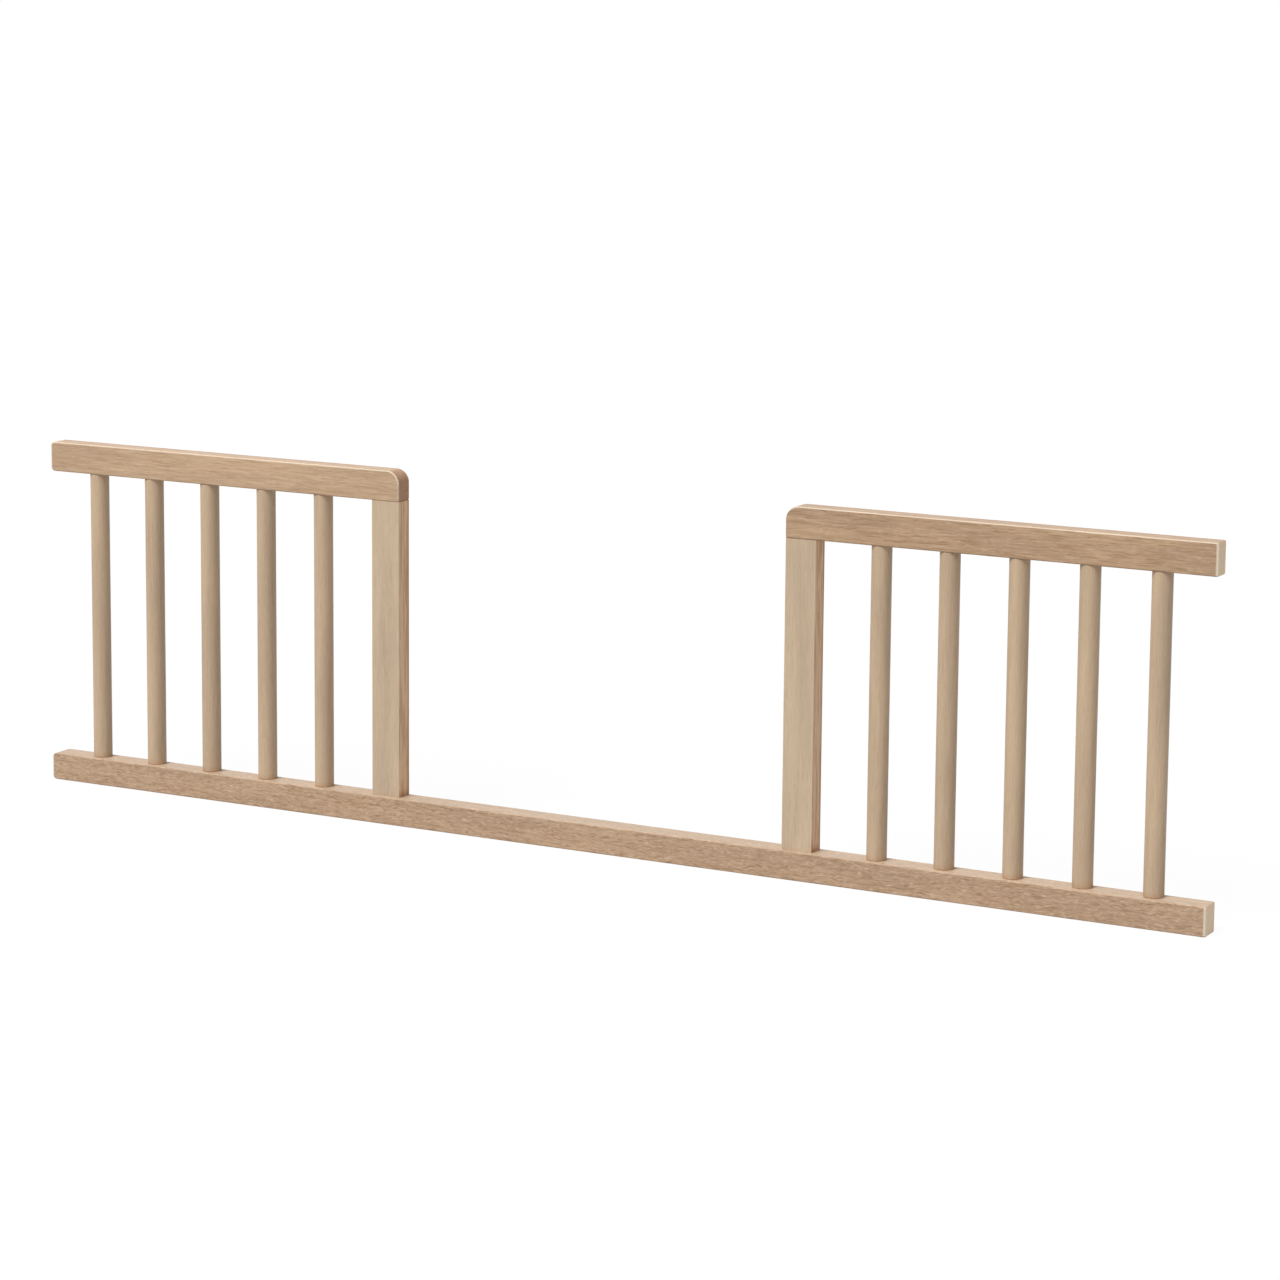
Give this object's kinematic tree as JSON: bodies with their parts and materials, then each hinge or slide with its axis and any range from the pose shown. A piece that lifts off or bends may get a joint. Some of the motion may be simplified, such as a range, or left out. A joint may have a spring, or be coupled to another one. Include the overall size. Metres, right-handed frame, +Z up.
{
  "type": "cot bed guard rail",
  "caption": "Low wooden guard rail for a cot bed: one long bottom rail, barred panels left and right, and an open entry gap in the middle.",
  "frame": {"origin": "centre of the underside of the bottom rail, below the middle of the entry gap", "axes": "+X along the rail to its right-hand end, +Y to the back, which faces the bed, +Z up"},
  "size_m": [1.41, 0.028, 0.396],
  "materials": {
    "beech_rail": "clear satin lacquer on beech",
    "beech_post": "clear satin lacquer on beech",
    "beech_spindle": "clear satin lacquer on turned beech",
    "dowel": "bare beech",
    "zinc_plate": "zinc-plated steel"
  },
  "bodies": {
    "root": {"bottom_rail": "beech_rail", "left_top_rail": "beech_rail", "right_top_rail": "beech_rail", "left_post": "beech_post", "right_post": "beech_post", "left_spindle_1": "beech_spindle", "left_spindle_2": "beech_spindle", "left_spindle_3": "beech_spindle", "left_spindle_4": "beech_spindle", "left_spindle_5": "beech_spindle", "right_spindle_1": "beech_spindle", "right_spindle_2": "beech_spindle", "right_spindle_3": "beech_spindle", "right_spindle_4": "beech_spindle", "right_spindle_5": "beech_spindle", "left_top_dowel_pins": "dowel", "left_bottom_dowel_pins": "dowel", "right_top_dowel_pins": "dowel", "right_bottom_dowel_pins": "dowel", "left_top_insert": "zinc_plate", "left_bottom_insert": "zinc_plate", "right_top_insert": "zinc_plate", "right_bottom_insert": "zinc_plate"}
  },
  "joints": []
}
